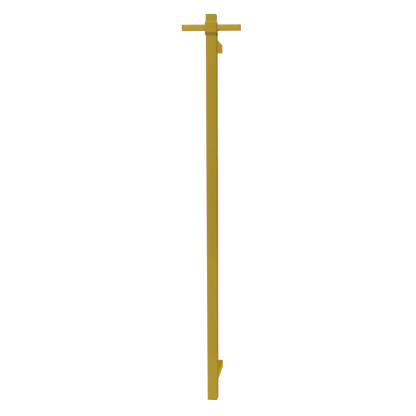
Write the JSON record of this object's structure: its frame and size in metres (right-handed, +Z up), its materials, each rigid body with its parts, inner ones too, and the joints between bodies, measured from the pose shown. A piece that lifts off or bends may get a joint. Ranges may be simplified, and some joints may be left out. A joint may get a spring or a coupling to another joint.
{
  "type": "towel warmer rack",
  "caption": "Wall-hung vertical square bar that warms towels, held off the wall by square sleeves, with a short T hanger that lifts off its top.",
  "frame": {"origin": "centre of the wall fixings: on the wall plane, in the bar's middle plane, half way between the two wall screw holes", "axes": "+Z up along the bar, +Y into the wall, front towards -Y, +X to the right as seen from the front"},
  "size_m": [0.14, 0.102, 0.95],
  "materials": {
    "brushed_brass": "brushed, satin",
    "bronzed_ring": "darkened, satin",
    "dark_rubber": "moulded, matt",
    "pale_nylon": "moulded, matt",
    "screw_steel": "stainless, plain",
    "spring_steel": "rolled",
    "anchor_steel": "machined",
    "carrier_aluminium": "mill",
    "heater_silicone": "silicone, matt",
    "lead_jacket": "extruded, matt",
    "moulded_black": "moulded, matt"
  },
  "bodies": {
    "rail": {"bar_tube": "brushed_brass", "bar_head": "brushed_brass", "bottom_cap": "brushed_brass", "bracket_sleeve_upper": "brushed_brass", "bracket_sleeve_lower": "brushed_brass", "seat_ring": "bronzed_ring", "head_seal": "dark_rubber", "bottom_seal": "dark_rubber", "lead_grommet": "dark_rubber", "wall_gland": "dark_rubber", "cable_clips": "pale_nylon", "bottom_cap_screw": "screw_steel", "bracket_set_screws": "screw_steel", "bracket_bolts": "screw_steel", "bracket_washers": "screw_steel", "rivet_nuts": "screw_steel", "carrier_springs": "spring_steel", "wall_anchor_upper": "anchor_steel", "wall_anchor_lower": "anchor_steel", "element_carrier": "carrier_aluminium", "heating_cable": "heater_silicone", "supply_lead": "lead_jacket", "splice_housing": "moulded_black", "thermal_cutout": "moulded_black"},
    "hanger": {"hanger_collar": "brushed_brass", "hanger_liner": "pale_nylon", "hanger_set_screw": "screw_steel", "hanger_arm_left": "brushed_brass", "hanger_arm_right": "brushed_brass", "arm_cap_left": "brushed_brass", "arm_cap_right": "brushed_brass", "arm_set_screws": "screw_steel"}
  },
  "joints": [
    {"name": "hanger_lift", "type": "slide", "parent": "rail", "child": "hanger", "axis": [0, 0, 1], "range_m": [0, 0.044]}
  ]
}
